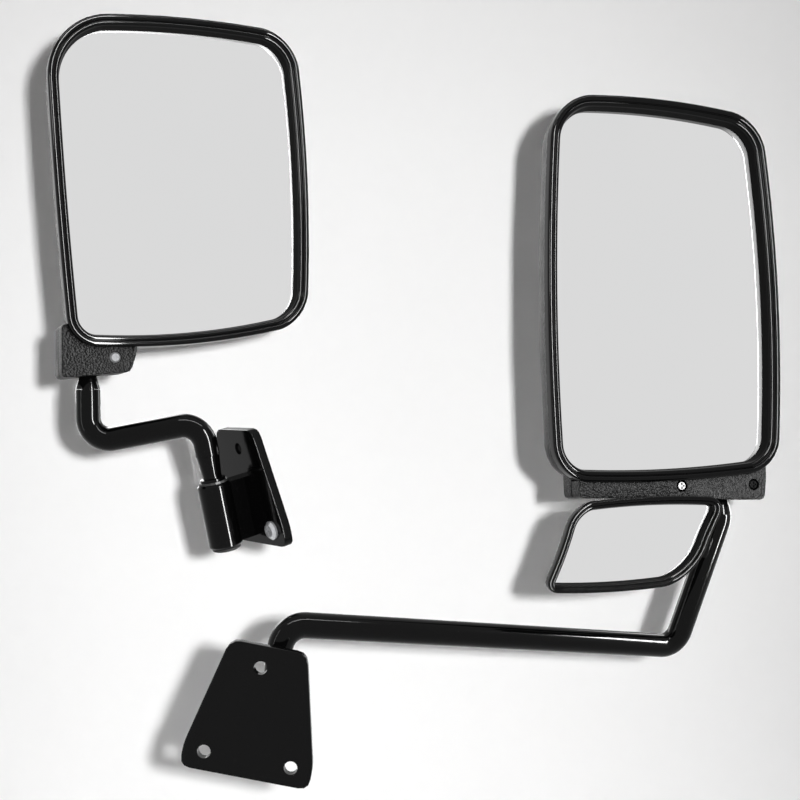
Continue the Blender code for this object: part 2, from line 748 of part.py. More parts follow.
def spot_mount(elbow, crank):
    """The lug on the back of the arm's upright run, with the ball stud that carries the spot mirror."""
    place = elbow.lerp(crank, SPOT_ALONG)
    tilt = math.atan2(crank.x - elbow.x, crank.z - elbow.z)
    spin = Matrix.Rotation(tilt, 3, "Y") @ Matrix.Rotation(SPOT_YAW, 3, "Z")
    base = frame("passenger_spot_lug_frame", place, spin.to_euler())
    reach = -SPOT_REACH_X
    plate_back = LUG_T - LUG_FACE
    low = (reach - 10.0, -LUG_FACE, -LUG_HALF_H)
    saddle = box("passenger_spot_lug", low, (-6.0, plate_back, LUG_HALF_H), PAINT, base, 1.0)
    heel_low = (-TUBE_R - 8.0, plate_back - 1.0, -LUG_HALF_H + 0.4)
    join(saddle, box("spot_lug_heel", heel_low, (LUG_END, LUG_BACK, LUG_HALF_H - 0.4), PAINT, base))
    cut(saddle, cylinder("spot_tube_way", TUBE_R + SEAT_GAP, 30.0, -30.0, base, steps=24))
    stud_way = (reach, 0, 0)
    cut(saddle, cylinder("spot_stud_way", STUD_R + SEAT_GAP, 20.0, 0.0, base, "-Y", stud_way, 16))
    seat = LUG_FACE + SEAT_GAP
    ball = [(r, z + SPOT_BALL_Y) for r, z in ball_arc(SPOT_BALL_R, SPOT_BALL_R, -5.7, 6)]
    ball[0] = (0.0, SPOT_BALL_Y + SPOT_BALL_R)
    ball += [
        (SPOT_NECK_R, SPOT_BALL_Y - 6.0),
        (SPOT_NECK_R, seat + 3.0),
        (STUD_FLANGE_R, seat + 2.6),
        (STUD_FLANGE_R, seat),
        (STUD_R, seat),
        (STUD_R, -0.5),
        (0.0, -0.5),
    ]
    turned("passenger_spot_ball_stud", ball, ZINC, base, 20, "-Y", stud_way)
    nut_top = -plate_back - SEAT_GAP
    nut_bore = STUD_R + SEAT_GAP
    nut("passenger_spot_stud_nut", 5.0, nut_top, nut_top - 5.0, nut_bore, ZINC, base, "-Y", stud_way)
    return place + spin @ Vector((reach, -SPOT_BALL_Y, 0.0))


def spot_head(at):
    """The small convex mirror: shell with a ball cup, liner, rim, glass and backing."""
    base = frame("passenger_spot_frame", at, (0.0, 0.0, SPOT_YAW))
    outline = head_outline(SPOT_CORNERS, SPOT_REACH, SPOT_BULGE, 3, 4)
    front = -SPOT_FRONT
    wall = SHELL_T + 0.1
    glass_at = front + SPOT_RIM_D + SEAT_GAP
    back_at = glass_at + SPOT_GLASS_T + SEAT_GAP
    ledge = back_at + SPOT_BACKING_T + SEAT_GAP
    rim("passenger_spot_rim", outline, SPOT_FRONT, SPOT_RIM_W, SPOT_RIM_D, SPOT_SKIRT, wall, base)
    pane_line = inset(outline, SPOT_PANE_INSET)
    pane("passenger_spot_glass", pane_line, glass_at, glass_at + SPOT_GLASS_T, MIRROR, base)
    pane("passenger_spot_backing", pane_line, back_at, back_at + SPOT_BACKING_T, BOARD, base)
    edge = front + SPOT_SKIRT + SEAT_GAP
    skin = [inset(outline, distance) for distance in SPOT_SHELL_INSETS]
    lining = [inset(outline, distance) for distance in SPOT_HOLLOW_INSETS]
    deep = [front + depth for depth in SPOT_SHELL_DEPTHS]
    inner = [front + depth for depth in SPOT_HOLLOW_DEPTHS]
    outer = [
        (skin[0], edge),
        (skin[1], deep[0]),
        (skin[2], deep[1]),
        (shrunk(skin[2], 0.88), deep[2]),
        (shrunk(skin[2], 0.6), deep[3]),
        (shrunk(skin[2], 0.3), deep[4]),
    ]
    pocket = [(inset(outline, wall), edge - 1), (inset(outline, wall), ledge)]
    hollow = [
        (lining[0], ledge - 1),
        (lining[1], inner[0]),
        (shrunk(lining[1], 0.85), inner[1]),
        (shrunk(lining[1], 0.5), inner[2]),
    ]
    shell = loft("passenger_spot_shell", outer, GRAIN, base, False)
    cut(shell, loft("spot_pocket_space", pocket, GRAIN, base, False))
    cut(shell, loft("spot_hollow_space", hollow, GRAIN, base, False))
    join(shell, cylinder("spot_cup", SPOT_CUP_R, SPOT_CUP_FRONT, -SPOT_CUP_BACK, base, "-Y", steps=24))
    liner_in = SPOT_BALL_R + RUN_GAP
    liner_out = liner_in + LINER_T
    cut(shell, sphere("spot_socket", liner_out + RUN_GAP, base))
    profile = ball_arc(liner_out, 6.0, LINER_BOTTOM, 5)
    profile += list(reversed(ball_arc(liner_in, 6.0, LINER_BOTTOM, 5)))
    turned("passenger_spot_liner", profile, NYLON, base, 20, "-Y", ring=True)


def driver():
    turn = DRIVER_PLATE_TURN
    base = bracket("driver", DRIVER_BOSS, turn)
    screw_end = PLATE_FACE + PLATE_T - 0.5
    screw("driver_bracket_screw", FOOT_HOLE, PLATE_FACE - SEAT_GAP, screw_end, 4.0, 8.0, 4.0, base, ZINC)
    moving = pivot("driver", DRIVER_BOSS, turn)
    up = up_axis(turn)
    boss = Vector(DRIVER_BOSS)
    foot = boss + up * (PIN_SEAT + SEAT_GAP)
    top = Vector(DRIVER_BALL) + Vector((0.0, 0.0, STUD_SHOULDER - SEAT_GAP))
    arm("driver", (foot, boss + up * ARM_RISE, Vector(DRIVER_KNEE), top), moving, DRIVER_BOSS)
    ball_joint("driver", DRIVER_BALL, 8.0)
    shape = (DRIVER_CORNERS, DRIVER_REACH, DRIVER_BULGE)
    head("driver", DRIVER_BALL, DRIVER_YAW, DRIVER_PITCH, shape, DRIVER_FOOT, DRIVER_FOOT_SCREWS)


def passenger():
    turn = PASSENGER_PLATE_TURN
    bracket("passenger", PASSENGER_BOSS, turn)
    moving = pivot("passenger", PASSENGER_BOSS, turn)
    boss = Vector(PASSENGER_BOSS)
    up = up_axis(turn)
    foot = boss + up * (PIN_SEAT + SEAT_GAP)
    elbow = Vector(PASSENGER_ELBOW)
    crank = Vector(PASSENGER_CRANK)
    top = Vector(PASSENGER_BALL) + Vector((0.0, 0.0, STUD_SHOULDER - SEAT_GAP))
    arm("passenger", (foot, boss + up * ARM_RISE, elbow, crank, top), moving, PASSENGER_BOSS)
    ball_joint("passenger", PASSENGER_BALL, 8.5)
    shape = (PASSENGER_CORNERS, PASSENGER_REACH, PASSENGER_BULGE)
    mount = (PASSENGER_FOOT, PASSENGER_FOOT_SCREWS)
    head("passenger", PASSENGER_BALL, PASSENGER_YAW, PASSENGER_PITCH, shape, *mount)
    spot_head(spot_mount(elbow, crank))


driver()
passenger()
curl_gap = abs(SPRING_END - SPRING_TOP) / SPRING_TURNS - 2 * WIRE_R
print(f"least gap between spring curls {curl_gap:.2f} mm")
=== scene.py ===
"""Dresses the pair of towing mirrors and sets the light and camera of the photograph."""

import json
import math

import bpy
from mathutils import Matrix, Vector


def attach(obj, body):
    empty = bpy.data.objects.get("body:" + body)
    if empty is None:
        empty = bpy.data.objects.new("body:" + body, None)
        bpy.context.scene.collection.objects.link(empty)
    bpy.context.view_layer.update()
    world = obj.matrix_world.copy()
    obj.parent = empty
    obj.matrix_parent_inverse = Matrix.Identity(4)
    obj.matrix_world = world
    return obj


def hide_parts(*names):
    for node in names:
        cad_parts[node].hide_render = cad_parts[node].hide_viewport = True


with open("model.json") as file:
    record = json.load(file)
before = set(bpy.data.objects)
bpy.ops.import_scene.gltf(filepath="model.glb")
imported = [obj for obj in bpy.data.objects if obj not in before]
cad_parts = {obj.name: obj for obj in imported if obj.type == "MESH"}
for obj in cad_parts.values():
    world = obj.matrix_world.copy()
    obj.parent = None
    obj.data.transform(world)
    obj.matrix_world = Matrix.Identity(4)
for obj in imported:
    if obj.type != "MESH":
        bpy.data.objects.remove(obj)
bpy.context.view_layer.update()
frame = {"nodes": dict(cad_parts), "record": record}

MM = 0.001
JOINTS = {joint["name"]: joint for joint in frame["record"]["behaviour"]["joints"]}
DRIVER_BALL = Vector(JOINTS["driver_head_swivel"]["pos_m"])
DRIVER_TURN = (math.radians(-2.0), 0.0, math.radians(24.0))
PASSENGER_BALL = Vector(JOINTS["passenger_head_swivel"]["pos_m"])
PASSENGER_TURN = (math.radians(-5.0), 0.0, math.radians(14.0))
SPOT_BALL = Vector(JOINTS["spot_swivel"]["pos_m"])
SPOT_TURN = (0.0, 0.0, math.radians(12.0))

# The middle of the photograph lies right of the driver's ball and a little below it.
VIEW_MIDDLE = DRIVER_BALL + Vector((260.0, 0.0, -31.7)) * MM
CAMERA_BACK = 1.0
FRAME_WIDTH = 0.6667
SENSOR_WIDTH = 36.0

# The arms: the tube's size, where it leaves its pin, how high it rises, and its corners.
TUBE_R = 0.010
TUBE_BEND_R = 0.018
TUBE_START = 0.024
TUBE_TIP = 0.0012
TUBE_TIP_SHARE = 0.965
TUBE_RISE = 0.0523
TUBE_SIDES = 40
TUBE_BEND_STEP = 0.09
STUD_BELOW = Vector((0.0, 0.0, -0.023))
DRIVER_KNEE = VIEW_MIDDLE + Vector((-259.4, 0.0, -36.2)) * MM
PASSENGER_ELBOW = VIEW_MIDDLE + Vector((236.8, 35.0, -212.2)) * MM
PASSENGER_CRANK = VIEW_MIDDLE + Vector((275.1, 35.0, -103.0)) * MM

# Rim lines in millimetres about each ball: corners, corner reaches and side bulges.
DRIVER_LINE = (
    ((-36.8, 280.3), (-18.2, 12.3), (185.8, 35.5), (177.3, 291.0)),
    (51.0, 22.5, 27.5, 31.5),
    (1.9, 8.7, 6.3, 7.2),
)
PASSENGER_LINE = (
    ((-149.5, 330.0), (-157.9, 7.6), (44.4, 14.1), (43.7, 320.7)),
    (35.5, 29.0, 26.0, 29.5),
    (5.9, 5.3, 8.4, 7.1),
)
SPOT_LINE = (
    ((-104.0, 33.5), (-130.2, -36.1), (0.9, -31.5), (30.8, 36.5)),
    (18.0, 13.0, 30.0, 18.5),
    (-2.4, 3.4, -3.0, 3.6),
)

# Sizes of rims and glasses in millimetres, with depths from the rim's front.
HEAD_FRONT = 24.0
RIM_WIDTH = 10.5
RIM_DEPTH = 13.0
RIM_SKIRT = 10.0
RIM_WALL = 3.5
GLASS_FRONT = 13.3
GLASS_THICK = 3.0
GLASS_INSET = 4.2
GLASS_EDGE = 0.4
SPOT_RIM_WIDTH = 7.5
SPOT_RIM_DEPTH = 8.0
SPOT_RIM_SKIRT = 6.0
SPOT_GLASS_FRONT = 8.3
SPOT_GLASS_THICK = 2.0
SPOT_GLASS_INSET = 3.6
# The row of the rim's section from which its inner wall begins.
RIM_WALL_ROW = 20

# How a corner's curve is drawn, and how copied solids are cleaned.
ROUND_PULL = 0.5523
NUDGE = 0.001
WELD = 0.000002
FLAT_ANGLE = math.radians(0.6)

# The sheet of paper: its wall stands behind the reach of the folding arms.
PAPER_BACK = 0.53
PAPER_FLOOR = -0.3
PAPER_WIDTH = 1.2
PAPER_DEPTH = 0.75
PAPER_HEIGHT = 1.2

# The photograph's narrow shadows: a small flash a little right of the camera and above it.
FLASH_AT = (0.085, -1.08, 0.027)
FLASH_AIM = (-0.55, 0.111, 0.0)
FLASH_SIZE = (0.03, 0.03)
FLASH_RADIANCE = 3700.0
# The paper stands farther off than the mirrors, so its own share of the flash is stronger.
PAPER_FLASH_RADIANCE = 7000.0
# The white that the camera, the glass and the gloss see all round, and the light it gives.
ROOM_WHITE = 0.825
ROOM_LIGHT = 0.08
ROOM_TINT = (1.0, 0.96, 0.94, 1.0)
PAPER_FILL = 0.8


class Wire:
    """One shader socket, so that arithmetic on it adds Math nodes."""

    def __init__(self, finish, socket):
        self.finish = finish
        self.socket = socket

    def _math(self, operation, first, second):
        return self.finish.add("ShaderNodeMath", {"operation": operation}, {0: first, 1: second})

    def __add__(self, other):
        return self._math("ADD", self, other)

    def __radd__(self, other):
        return self._math("ADD", other, self)

    def __sub__(self, other):
        return self._math("SUBTRACT", self, other)

    def __rsub__(self, other):
        return self._math("SUBTRACT", other, self)

    def __mul__(self, other):
        return self._math("MULTIPLY", self, other)


class Finish:
    """A material with a Principled shader and a few node helpers."""

    def __init__(self, name, metallic=0.0, specular=0.5):
        self.material = bpy.data.materials.new(name)
        self.material.use_nodes = True
        self.tree = self.material.node_tree
        self.tree.nodes.clear()
        self.output = self.tree.nodes.new("ShaderNodeOutputMaterial")
        self.shader = self.tree.nodes.new("ShaderNodeBsdfPrincipled")
        self.tree.links.new(self.shader.outputs["BSDF"], self.output.inputs["Surface"])
        self.shader.inputs["Metallic"].default_value = metallic
        self.shader.inputs["Specular IOR Level"].default_value = specular
        self.place = self.add("ShaderNodeTexCoord", {}, {}, "Object")

    def add(self, kind, settings, inputs, output=0):
        node = self.tree.nodes.new(kind)
        for key, value in settings.items():
            setattr(node, key, value)
        for key, value in inputs.items():
            if isinstance(value, Wire):
                self.tree.links.new(value.socket, node.inputs[key])
            else:
                node.inputs[key].default_value = value
        return Wire(self, node.outputs[output])

    def noise(self, scale, detail=3.0, rough=0.5):
        inputs = {"Vector": self.place, "Scale": scale, "Detail": detail, "Roughness": rough}
        return self.add("ShaderNodeTexNoise", {}, inputs)

    def cells(self, scale):
        inputs = {"Vector": self.place, "Scale": scale}
        return self.add("ShaderNodeTexVoronoi", {"feature": "F1"}, inputs)

    def fade(self, value, low, high):
        """0 below low, 1 above high."""
        inputs = {"Value": value, "From Min": low, "From Max": high}
        return self.add("ShaderNodeMapRange", {"clamp": True}, inputs)

    def blend(self, factor, first, second):
        inputs = {"Factor": factor, 6: (*first, 1.0), 7: (*second, 1.0)}
        return self.add("ShaderNodeMix", {"data_type": "RGBA"}, inputs, 2)

    def bump(self, height, strength, distance):
        inputs = {"Height": height, "Strength": strength, "Distance": distance}
        return self.add("ShaderNodeBump", {}, inputs)

    def feed(self, **sockets):
        names = {"colour": "Base Color", "roughness": "Roughness", "normal": "Normal"}
        for key, wire in sockets.items():
            self.tree.links.new(wire.socket, self.shader.inputs[names[key]])
        return self.material


def gloss_paint():
    """Thick stove paint: a slow flow in its gloss, fine orange peel and a little settled dust."""
    look = Finish("gloss_black_paint", specular=0.12)
    flow = look.noise(14.0, 3.0)
    dust = look.fade(look.noise(420.0, 5.0, 0.7), 0.62, 0.8)
    colour = look.blend(dust * 0.5, (0.0022, 0.0022, 0.0023), (0.011, 0.0107, 0.0104))
    roughness = 0.06 + flow * 0.06 + dust * 0.14
    peel = look.noise(330.0, 2.0)
    return look.feed(colour=colour, roughness=roughness, normal=look.bump(peel, 0.06, 0.0004))


def gloss_plastic():
    """Moulded gloss plastic with hairline rub marks and a faint mould flow."""
    look = Finish("gloss_black_plastic", specular=0.14)
    flow = look.noise(9.0, 4.0)
    rub = look.fade(look.noise(700.0, 6.0, 0.75), 0.6, 0.85)
    colour = look.blend(rub * 0.4, (0.0022, 0.0022, 0.0023), (0.009, 0.009, 0.009))
    roughness = 0.04 + flow * 0.05 + rub * 0.1
    wave = look.noise(70.0, 2.0)
    return look.feed(colour=colour, roughness=roughness, normal=look.bump(wave, 0.04, 0.0006))


def satin_plastic():
    """The rim's inner wall, dull from the mould, so that the glass shows it dark."""
    look = Finish("satin_black_plastic", specular=0.06)
    flow = look.noise(40.0, 4.0)
    fleck = look.noise(600.0, 3.0)
    colour = look.blend(flow, (0.002, 0.002, 0.002), (0.006, 0.006, 0.006))
    roughness = 0.5 + fleck * 0.15
    return look.feed(colour=colour, roughness=roughness, normal=look.bump(fleck, 0.1, 0.0003))


def grained_plastic():
    """Textured housing plastic: a leather-like grain whose high spots are painted paler as glints of
    light.
    """
    look = Finish("grained_black_plastic", specular=0.1)
    grain = look.cells(560.0)
    crease = look.noise(420.0, 3.0, 0.6)
    patch = look.fade(look.noise(60.0, 3.0), 0.4, 0.65)
    # The grain's high spots, in random patches, get a painted glint: a paler colour standing in for
    # sparkles of light.
    high = (1.0 - look.fade(grain, 0.12, 0.34)) * look.fade(crease, 0.42, 0.6)
    painted_glint = high * (0.45 + patch * 0.55)
    colour = look.blend(painted_glint, (0.0015, 0.0015, 0.0015), (0.085, 0.085, 0.086))
    roughness = 0.42 - high * 0.14 + patch * 0.06
    height = crease * 0.5 - grain
    return look.feed(colour=colour, roughness=roughness, normal=look.bump(height, 0.7, 0.0009))


def silvered_glass():
    """Silvered glass: bright, with a breath of haze from wiping."""
    look = Finish("silvered_mirror_glass", metallic=1.0)
    haze = look.fade(look.noise(11.0, 5.0), 0.35, 0.75)
    speck = look.fade(look.noise(900.0, 3.0), 0.7, 0.85)
    colour = look.blend(haze * 0.5 + speck * 0.2, (0.85, 0.85, 0.85), (0.838, 0.84, 0.842))
    roughness = 0.012 + haze * 0.02 + speck * 0.01
    return look.feed(colour=colour, roughness=roughness)


def plated_zinc():
    """Bright zinc with a drawn grain and dull spangles."""
    look = Finish("bright_zinc", metallic=0.6)
    spangle = look.cells(650.0)
    drawn = look.noise(1500.0, 4.0)
    dull = look.fade(look.noise(220.0, 4.0), 0.45, 0.75)
    colour = look.blend(spangle * 0.7, (0.68, 0.69, 0.71), (0.5, 0.51, 0.52))
    roughness = 0.12 + dull * 0.1 + drawn * 0.06
    return look.feed(colour=colour, roughness=roughness, normal=look.bump(drawn, 0.1, 0.0002))


def spring_steel():
    """Dark oiled steel with a little stain."""
    look = Finish("oiled_spring_steel", metallic=1.0)
    scale = look.noise(700.0, 5.0, 0.7)
    stain = look.fade(look.noise(180.0, 4.0), 0.5, 0.8)
    colour = look.blend(stain, (0.36, 0.36, 0.37), (0.22, 0.2, 0.18))
    roughness = 0.25 + scale * 0.2
    return look.feed(colour=colour, roughness=roughness, normal=look.bump(scale, 0.1, 0.0002))


def black_nylon():
    """Moulded nylon with faint flow."""
    look = Finish("black_nylon", specular=0.4)
    flow = look.noise(120.0, 4.0)
    mark = look.noise(900.0, 3.0)
    colour = look.blend(flow, (0.008, 0.008, 0.008), (0.02, 0.02, 0.02))
    roughness = 0.4 + mark * 0.15
    return look.feed(colour=colour, roughness=roughness, normal=look.bump(mark, 0.1, 0.0002))


def black_rubber():
    """Rubber with a dull bloom and fine pits."""
    look = Finish("black_rubber", specular=0.3)
    bloom = look.noise(150.0, 5.0)
    pit = look.noise(1300.0, 3.0)
    colour = look.blend(bloom, (0.01, 0.01, 0.01), (0.03, 0.03, 0.029))
    roughness = 0.65 + bloom * 0.2
    return look.feed(colour=colour, roughness=roughness, normal=look.bump(pit, 0.2, 0.0003))


def backing_board():
    """Pressed fibre board."""
    look = Finish("black_backing_board", specular=0.3)
    fibre = look.noise(800.0, 6.0, 0.7)
    colour = look.blend(fibre, (0.018, 0.018, 0.018), (0.05, 0.05, 0.048))
    roughness = 0.6 + fibre * 0.25
    return look.feed(colour=colour, roughness=roughness, normal=look.bump(fibre, 0.2, 0.0003))


PAINT = gloss_paint()
RIM_PLASTIC = gloss_plastic()
WALL_PLASTIC = satin_plastic()
GRAIN = grained_plastic()
SILVER = silvered_glass()
ZINC = plated_zinc()
STEEL = spring_steel()
NYLON = black_nylon()
RUBBER = black_rubber()
BOARD = backing_board()

SLOT_LOOKS = {
    "painted_metal": PAINT,
    "gloss_rim": RIM_PLASTIC,
    "grained_shell": GRAIN,
    "mirror_glass": SILVER,
    "backing_board": BOARD,
    "nylon": NYLON,
    "steel_spring": STEEL,
    "zinc_fasteners": ZINC,
    "rubber_cap": RUBBER,
}
NODE_SLOT = {part["node"]: part["material_slot"] for part in frame["record"]["subparts"]}
BODIES = frame["record"]["behaviour"]["bodies"]
NODE_BODY = {node: body for body, nodes in BODIES.items() for node in nodes}

# The new piece that stands for each node, for the lamps that light only some of them.
NEW = {}


def only(piece):
    """Selects one piece and nothing else."""
    bpy.ops.object.select_all(action="DESELECT")
    piece.select_set(True)
    bpy.context.view_layer.objects.active = piece


def settle(piece, node):
    """Gives a finished piece the look, body and slot of the node that it stands for."""
    slot = NODE_SLOT[node]
    piece.data.materials.clear()
    piece.data.materials.append(SLOT_LOOKS[slot])
    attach(piece, NODE_BODY[node])
    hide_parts(node)
    NEW[node] = piece


def smoothed(node, angle):
    """A merged copy of a solid with smooth round sides."""
    mesh = frame["nodes"][node].data.copy()
    piece = bpy.data.objects.new(node + "_skin", mesh)
    bpy.context.scene.collection.objects.link(piece)
    only(piece)
    bpy.ops.mesh.customdata_custom_splitnormals_clear()
    bpy.ops.object.mode_set(mode="EDIT")
    bpy.ops.mesh.select_all(action="SELECT")
    bpy.ops.mesh.remove_doubles(threshold=WELD)
    bpy.ops.mesh.dissolve_limited(angle_limit=FLAT_ANGLE)
    bpy.ops.object.mode_set(mode="OBJECT")
    bpy.ops.object.shade_smooth_by_angle(angle=math.radians(angle))
    flat = piece.modifiers.new("flat_faces_stay_flat", "WEIGHTED_NORMAL")
    flat.keep_sharp = True
    bpy.ops.object.modifier_apply(modifier=flat.name)
    settle(piece, node)


def rim_line(corners, reach, bulge, side_steps=12, arc_steps=14):
    """The outer line of a rim: four bulged sides joined by rounded corners."""
    ends = [Vector(corner) for corner in corners]

    def on_side(i, t):
        a = ends[i]
        along = ends[(i + 1) % 4] - a
        out = Vector((along.y, -along.x)).normalized()
        return a + along * t + out * bulge[i] * 4 * t * (1 - t)

    points = []
    for i in range(4):
        j = (i + 1) % 4
        length = (ends[j] - ends[i]).length
        next_length = (ends[(j + 1) % 4] - ends[j]).length
        first = reach[i] / length
        last = 1 - reach[j] / length
        for k in range(side_steps + 1):
            points.append(on_side(i, first + (last - first) * k / side_steps))
        start = on_side(i, last)
        end = on_side(j, reach[j] / next_length)
        leave = start - on_side(i, last - NUDGE)
        arrive = on_side(j, reach[j] / next_length + NUDGE) - end
        gap = end - start
        span = (gap.x * arrive.y - gap.y * arrive.x) / (leave.x * arrive.y - leave.y * arrive.x)
        peak = start + leave * span
        first_pull = start.lerp(peak, ROUND_PULL)
        last_pull = end.lerp(peak, ROUND_PULL)
        for k in range(1, arc_steps):
            t = k / arc_steps
            a = start.lerp(first_pull, t)
            b = first_pull.lerp(last_pull, t)
            c = last_pull.lerp(end, t)
            points.append(a.lerp(b, t).lerp(b.lerp(c, t), t))
    return points


def drawn_in(line, distance):
    """A line moved inwards by a distance."""
    moved = []
    count = len(line)
    for i, point in enumerate(line):
        along = (line[(i + 1) % count] - line[i - 1]).normalized()
        moved.append(point + Vector((-along.y, along.x)) * distance)
    return moved


def skin(name, loops, ball, turn, closed):
    """Faces between outlines at given depths behind a ball, placed by the head's turn."""
    points = []
    faces = []
    count = len(loops[0][0])
    for line, depth in loops:
        points += [(p.x * MM, depth * MM, p.y * MM) for p in line]
    rows = len(loops)
    for r in range(rows if closed else rows - 1):
        here = r * count
        there = (r + 1) % rows * count
        for i in range(count):
            j = (i + 1) % count
            faces.append((here + i, here + j, there + j, there + i))
    if not closed:
        faces.append(tuple(range(count)))
        faces.append(tuple(range((rows - 1) * count, rows * count)))
    mesh = bpy.data.meshes.new(name)
    mesh.from_pydata(points, [], faces)
    spin = Matrix.Rotation(turn[2], 4, "Z") @ Matrix.Rotation(turn[0], 4, "X")
    mesh.transform(Matrix.Translation(ball) @ spin)
    piece = bpy.data.objects.new(name, mesh)
    bpy.context.scene.collection.objects.link(piece)
    only(piece)
    bpy.ops.object.mode_set(mode="EDIT")
    bpy.ops.mesh.select_all(action="SELECT")
    bpy.ops.mesh.normals_make_consistent(inside=False)
    bpy.ops.object.mode_set(mode="OBJECT")
    return piece


def rim(node, line, front, width, depth, skirt, ball, turn):
    """The double-lipped rim: rounded bead, groove, inner lip and the wall down to the glass."""
    lip = width / RIM_WIDTH
    section = (
        (0.0, skirt),
        (0.0, 5.0 * lip),
        (0.0, 2.6 * lip),
        (0.16 * lip, 1.65 * lip),
        (0.55 * lip, 0.9 * lip),
        (1.15 * lip, 0.36 * lip),
        (1.9 * lip, 0.07 * lip),
        (2.7 * lip, 0.0),
        (3.5 * lip, 0.13 * lip),
        (4.2 * lip, 0.52 * lip),
        (4.7 * lip, 1.15 * lip),
        (5.0 * lip, 1.9 * lip),
        (5.2 * lip, 2.3 * lip),
        (5.5 * lip, 2.45 * lip),
        (5.9 * lip, 2.25 * lip),
        (6.4 * lip, 2.02 * lip),
        (7.2 * lip, 2.0 * lip),
        (8.0 * lip, 2.3 * lip),
        (8.6 * lip, 2.95 * lip),
        (9.0 * lip, 3.8 * lip),
        (9.25 * lip, 4.8 * lip),
        (width - 0.1, depth - 1.0),
        (width, depth),
        (RIM_WALL, depth),
        (RIM_WALL, skirt),
    )
    loops = [(drawn_in(line, d), y - front) for d, y in section]
    piece = skin(node + "_fine", loops, ball, turn, True)
    bpy.ops.object.shade_smooth_by_angle(angle=math.radians(50.0))
    settle(piece, node)
    piece.data.materials.append(WALL_PLASTIC)
    for face in piece.data.polygons:
        if RIM_WALL_ROW <= face.index // len(line):
            face.material_index = 1


def glass(node, line, front, thick, ball, turn):
    """A pane with a ground edge."""
    loops = [
        (drawn_in(line, GLASS_EDGE), front),
        (line, front + GLASS_EDGE),
        (line, front + thick - GLASS_EDGE),
        (drawn_in(line, GLASS_EDGE), front + thick),
    ]
    piece = skin(node + "_fine", loops, ball, turn, False)
    settle(piece, node)


def bent_tube(node, fold, corners):
    """A tube drawn from a ring: straight runs are extruded and bends are spun."""
    pivot = Vector(JOINTS[fold]["pos_m"])
    up = Vector(JOINTS[fold]["axis"]).normalized()
    corners = [pivot + up * TUBE_START, pivot + up * TUBE_RISE, *corners]
    heading = (corners[1] - corners[0]).normalized()
    bpy.ops.object.select_all(action="DESELECT")
    lean = heading.to_track_quat("Z", "Y").to_euler()
    bpy.ops.mesh.primitive_circle_add(
        vertices=TUBE_SIDES, radius=TUBE_R, fill_type="NOTHING", location=corners[0], rotation=lean
    )
    piece = bpy.context.object
    piece.name = node + "_fine"
    bpy.ops.object.transform_apply(location=True, rotation=True, scale=True)
    bpy.ops.object.mode_set(mode="EDIT")
    bpy.ops.mesh.select_all(action="SELECT")
    at = corners[0]
    for before, corner, after in zip(corners, corners[1:], corners[2:]):
        inward = (before - corner).normalized()
        outward = (after - corner).normalized()
        half = inward.angle(outward) / 2
        reach = TUBE_BEND_R / math.tan(half)
        start = corner + inward * reach
        bpy.ops.mesh.extrude_edges_move(TRANSFORM_OT_translate={"value": start - at})
        centre = corner + (inward + outward).normalized() * TUBE_BEND_R / math.sin(half)
        at = corner + outward * reach
        axis = (start - centre).cross(at - centre).normalized()
        sweep = (start - centre).angle(at - centre)
        steps = max(4, int(sweep / TUBE_BEND_STEP))
        bpy.ops.mesh.spin(steps=steps, angle=-sweep, center=centre, axis=axis)
    end = corners[-1]
    tip = (end - at).normalized() * TUBE_TIP
    bpy.ops.mesh.extrude_edges_move(TRANSFORM_OT_translate={"value": end - tip - at})
    bpy.ops.mesh.extrude_edges_move(TRANSFORM_OT_translate={"value": tip})
    bpy.ops.transform.resize(value=(TUBE_TIP_SHARE,) * 3, center_override=end)
    bpy.ops.mesh.select_all(action="SELECT")
    bpy.ops.mesh.remove_doubles(threshold=WELD)
    bpy.ops.mesh.select_all(action="DESELECT")
    bpy.ops.mesh.select_non_manifold(extend=False)
    bpy.ops.mesh.edge_face_add()
    bpy.ops.mesh.select_all(action="SELECT")
    bpy.ops.mesh.normals_make_consistent(inside=False)
    bpy.ops.object.mode_set(mode="OBJECT")
    bpy.ops.object.shade_smooth_by_angle(angle=math.radians(40.0))
    settle(piece, node)


def heads():
    """Rims, glasses, shells and feet of both heads, and the spot mirror."""
    for who, shape, ball, turn in (
        ("driver", DRIVER_LINE, DRIVER_BALL, DRIVER_TURN),
        ("passenger", PASSENGER_LINE, PASSENGER_BALL, PASSENGER_TURN),
    ):
        line = rim_line(*shape)
        rim(who + "_rim", line, HEAD_FRONT, RIM_WIDTH, RIM_DEPTH, RIM_SKIRT, ball, turn)
        pane = drawn_in(line, GLASS_INSET)
        glass(who + "_glass", pane, GLASS_FRONT - HEAD_FRONT, GLASS_THICK, ball, turn)
        smoothed(who + "_shell", 40.0)
        smoothed(who + "_foot_cover", 30.0)
    line = rim_line(*SPOT_LINE)
    spot_sizes = (SPOT_RIM_WIDTH, SPOT_RIM_DEPTH, SPOT_RIM_SKIRT)
    rim("passenger_spot_rim", line, HEAD_FRONT, *spot_sizes, SPOT_BALL, SPOT_TURN)
    pane = drawn_in(line, SPOT_GLASS_INSET)
    spot_front = SPOT_GLASS_FRONT - HEAD_FRONT
    glass("passenger_spot_glass", pane, spot_front, SPOT_GLASS_THICK, SPOT_BALL, SPOT_TURN)
    smoothed("passenger_spot_shell", 40.0)


def arms():
    """The bent tubes with their brackets, pins, studs and caps."""
    bent_tube("driver_arm_tube", "driver_arm_fold", (DRIVER_KNEE, DRIVER_BALL + STUD_BELOW))
    corners = (PASSENGER_ELBOW, PASSENGER_CRANK, PASSENGER_BALL + STUD_BELOW)
    bent_tube("passenger_arm_tube", "passenger_arm_fold", corners)
    for who in ("driver", "passenger"):
        smoothed(who + "_bracket", 35.0)
        smoothed(who + "_pivot_pin", 40.0)
        smoothed(who + "_ball_stud", 40.0)
        smoothed(who + "_boss_cap", 40.0)


